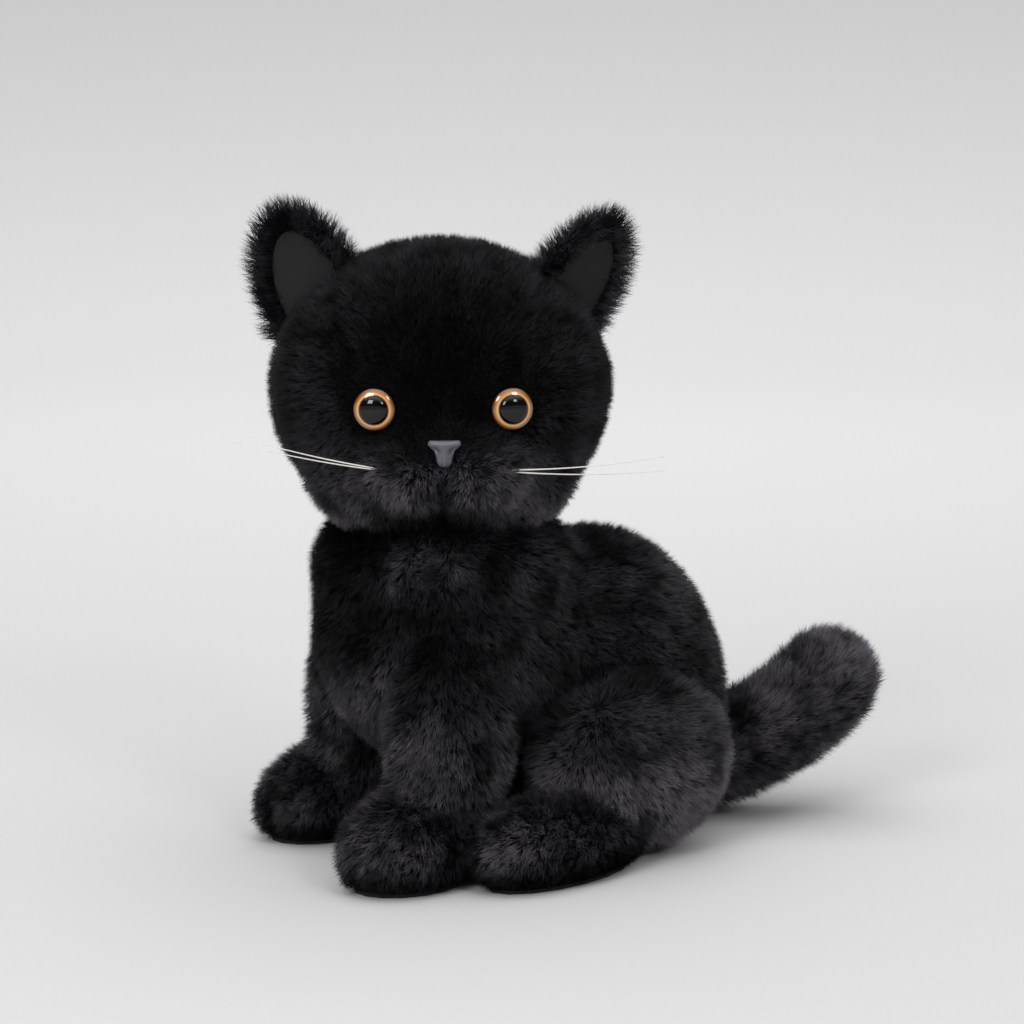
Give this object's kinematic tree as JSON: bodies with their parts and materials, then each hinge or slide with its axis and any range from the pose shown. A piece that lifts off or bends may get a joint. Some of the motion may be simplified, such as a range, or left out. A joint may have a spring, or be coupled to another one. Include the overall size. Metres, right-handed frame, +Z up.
{
  "type": "plush cat",
  "caption": "Sitting black plush kitten with a turned head, amber eyes, bristle whiskers and a raised tail.",
  "frame": {"origin": "middle of the flat seat under the body, on the plane the cat sits on", "axes": "+Z up, the body faces -Y, the cat's left side is +X"},
  "size_m": [0.15, 0.2804, 0.2486],
  "materials": {
    "black_plush": "matte",
    "ear_velvet": "matte",
    "sole_fabric": "matte",
    "polyester_filling": "matte",
    "black_thread": "matte",
    "amber_iris": "gloss",
    "black_pupil": "gloss",
    "moulded_nose": "satin",
    "lock_washer": "matte",
    "nylon_bristle": "satin"
  },
  "bodies": {
    "torso": {"base_panel": "black_plush", "chest_panel": "black_plush", "torso_left_panel": "black_plush", "torso_right_panel": "black_plush", "torso_filling": "polyester_filling", "thigh_left_panel": "black_plush", "thigh_left_filling": "polyester_filling", "hind_foot_left_panel": "black_plush", "hind_foot_left_filling": "polyester_filling", "hind_foot_left_sole": "sole_fabric", "thigh_right_panel": "black_plush", "thigh_right_filling": "polyester_filling", "hind_foot_right_panel": "black_plush", "hind_foot_right_filling": "polyester_filling", "hind_foot_right_sole": "sole_fabric"},
    "neck": {"neck_filling": "polyester_filling", "neck_seam_thread": "black_thread"},
    "head": {"muzzle_panel": "black_plush", "forehead_gusset": "black_plush", "cheek_left_panel": "black_plush", "cheek_right_panel": "black_plush", "head_filling": "polyester_filling", "eye_left_iris": "amber_iris", "eye_left_pupil": "black_pupil", "eye_left_washer": "lock_washer", "eye_right_iris": "amber_iris", "eye_right_pupil": "black_pupil", "eye_right_washer": "lock_washer", "nose": "moulded_nose", "nose_washer": "lock_washer", "mouth_stitch": "black_thread", "whisker_left_upper": "nylon_bristle", "whisker_left_lower": "nylon_bristle", "whisker_right_upper": "nylon_bristle", "whisker_right_lower": "nylon_bristle"},
    "ear_left": {"ear_left_outer": "black_plush", "ear_left_lining": "ear_velvet"},
    "ear_right": {"ear_right_outer": "black_plush", "ear_right_lining": "ear_velvet"},
    "foreleg_left": {"foreleg_left_outer_panel": "black_plush", "foreleg_left_inner_panel": "black_plush", "foreleg_left_filling": "polyester_filling", "foreleg_left_sole": "sole_fabric"},
    "foreleg_right": {"foreleg_right_outer_panel": "black_plush", "foreleg_right_inner_panel": "black_plush", "foreleg_right_filling": "polyester_filling", "foreleg_right_sole": "sole_fabric"},
    "tail_root": {"tail_root_filling": "polyester_filling"},
    "tail": {"tail_left_panel": "black_plush", "tail_right_panel": "black_plush", "tail_filling": "polyester_filling"}
  },
  "joints": [
    {"name": "head_turn", "type": "hinge", "parent": "torso", "child": "neck", "pos_m": [0, -0.065, 0.1815], "axis": [0, 0, 1], "range_deg": [-35, 15], "stiffness_Nm_per_rad": 0.25},
    {"name": "head_nod", "type": "hinge", "parent": "neck", "child": "head", "pos_m": [0, -0.065, 0.1815], "axis": [0.4226, 0.9063, 0], "range_deg": [-10, 8], "stiffness_Nm_per_rad": 0.4},
    {"name": "ear_left_fold", "type": "hinge", "parent": "head", "child": "ear_left", "pos_m": [0.01763, -0.02246, 0.2115], "axis": [-0.2428, 0.8702, -0.4287], "range_deg": [-15, 15], "stiffness_Nm_per_rad": 0.03},
    {"name": "ear_right_fold", "type": "hinge", "parent": "head", "child": "ear_right", "pos_m": [-0.02125, -0.10585, 0.2115], "axis": [0.5995, 0.7131, 0.3635], "range_deg": [-15, 15], "stiffness_Nm_per_rad": 0.03},
    {"name": "foreleg_left_lift", "type": "hinge", "parent": "torso", "child": "foreleg_left", "pos_m": [0.036, -0.074, 0.084], "axis": [-1, 0, 0], "range_deg": [0, 20], "stiffness_Nm_per_rad": 0.6},
    {"name": "foreleg_right_lift", "type": "hinge", "parent": "torso", "child": "foreleg_right", "pos_m": [-0.036, -0.074, 0.084], "axis": [-1, 0, 0], "range_deg": [0, 20], "stiffness_Nm_per_rad": 0.6},
    {"name": "tail_swing", "type": "hinge", "parent": "torso", "child": "tail_root", "pos_m": [0, 0.04379, 0.021], "axis": [0, 0, 1], "range_deg": [-20, 20], "stiffness_Nm_per_rad": 0.2},
    {"name": "tail_lift", "type": "hinge", "parent": "tail_root", "child": "tail", "pos_m": [0, 0.04379, 0.021], "axis": [1, 0, 0], "range_deg": [0, 14], "stiffness_Nm_per_rad": 0.3}
  ]
}
